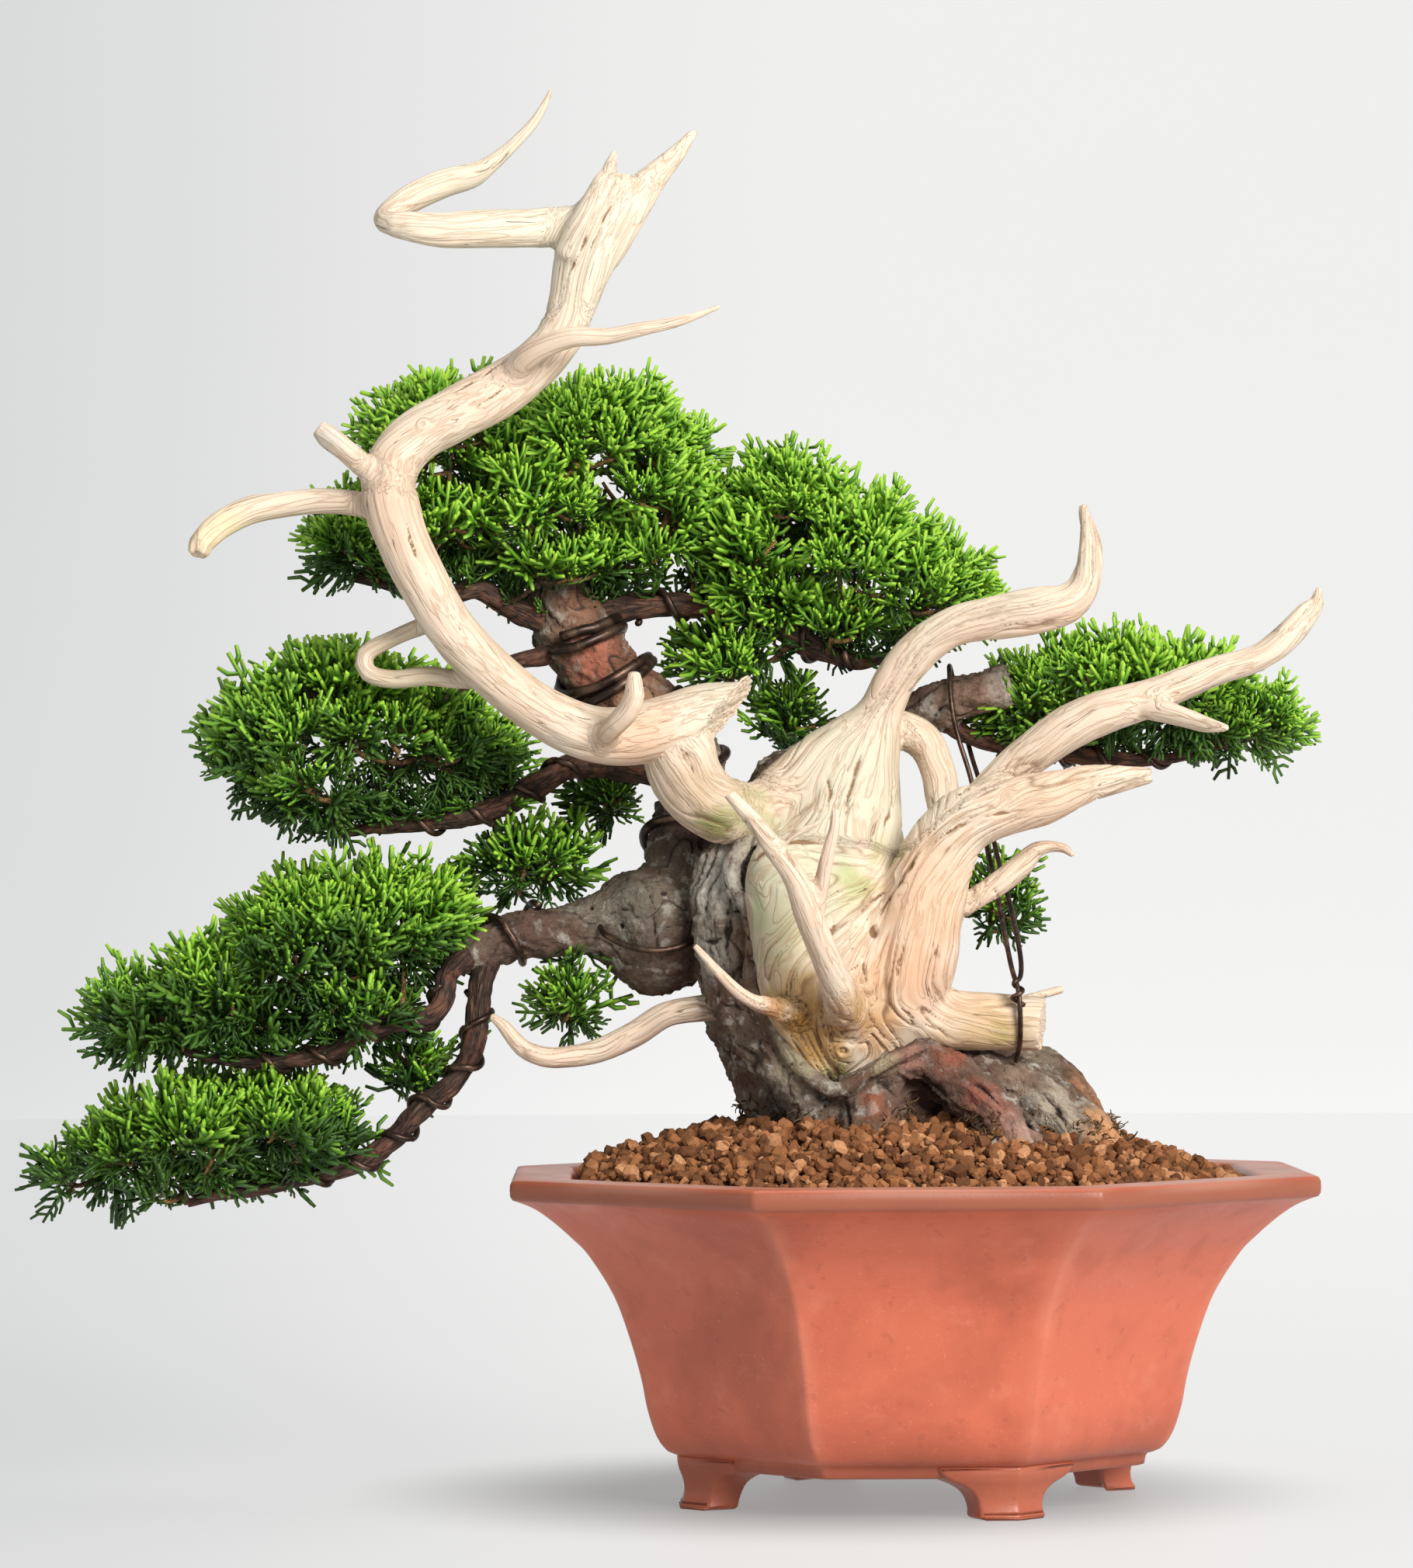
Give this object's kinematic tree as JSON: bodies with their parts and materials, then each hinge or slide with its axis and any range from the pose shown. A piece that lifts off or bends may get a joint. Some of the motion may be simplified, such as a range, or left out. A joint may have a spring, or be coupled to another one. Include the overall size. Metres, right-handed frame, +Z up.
{
  "type": "potted juniper bonsai",
  "caption": "Slanting juniper bonsai with a bleached deadwood trunk, wired live branches and layered foliage pads, planted in granular soil in an octagonal footed clay pot.",
  "frame": {"origin": "middle of the bounding box, on the surface that the pot's feet stand on", "axes": "+Z up, -Y the front that shows the deadwood, +X to the viewer's right; the pot's axis stands at X = 0.074 m, Y = 0"},
  "size_m": [0.4061, 0.2508, 0.4463],
  "materials": {
    "terracotta": "unglazed red-brown clay, matt",
    "soil": "fired clay granules of 2 to 4 mm, dry and matt",
    "bark": "fissured bark with grey lichen",
    "deadwood": "bare weathered wood, bleached, with fine long grain",
    "twig_bark": "thin reddish flaking bark",
    "foliage": "scale leaves on fine shoots",
    "copper_wire": "anodised dark bronze wire, satin",
    "screen_mesh": "black moulded mesh"
  },
  "bodies": {
    "root": {"pot": "terracotta", "soil": "soil", "drain_screen_left": "screen_mesh", "drain_screen_right": "screen_mesh", "screen_clip_left": "copper_wire", "screen_clip_right": "copper_wire", "trunk_live": "bark", "trunk_deadwood": "deadwood", "jin_arch": "deadwood", "jin_hook": "deadwood", "jin_side": "deadwood", "jin_left_stub": "deadwood", "jin_left": "deadwood", "jin_loop": "deadwood", "jin_heel": "deadwood", "jin_long_right": "deadwood", "jin_long_side": "deadwood", "jin_lower_hook": "deadwood", "jin_sliver": "deadwood", "jin_front": "deadwood", "jin_front_twig": "deadwood", "jin_small_twig": "deadwood", "jin_low_left": "deadwood", "branch_mid_left": "twig_bark", "branch_lowest": "twig_bark", "branch_low_left": "twig_bark", "branch_apex_right": "twig_bark", "branch_apex_left": "twig_bark", "branch_left_stem": "twig_bark", "branch_right": "twig_bark", "wire_upper_stem": "copper_wire", "wire_mid_left": "copper_wire", "wire_lowest": "copper_wire", "wire_low_left": "copper_wire", "wire_apex_right": "copper_wire", "wire_right": "copper_wire", "guy_wire": "copper_wire", "foliage_apex": "foliage", "foliage_apex_left": "foliage", "foliage_upper_right": "foliage", "foliage_right": "foliage", "foliage_mid_left": "foliage", "foliage_low_left": "foliage", "foliage_lowest": "foliage", "tuft_burl_left": "foliage", "tuft_under_branch": "foliage", "tuft_drop": "foliage", "tuft_right": "foliage", "tuft_crotch": "foliage", "tuft_stem": "foliage"}
  },
  "joints": []
}
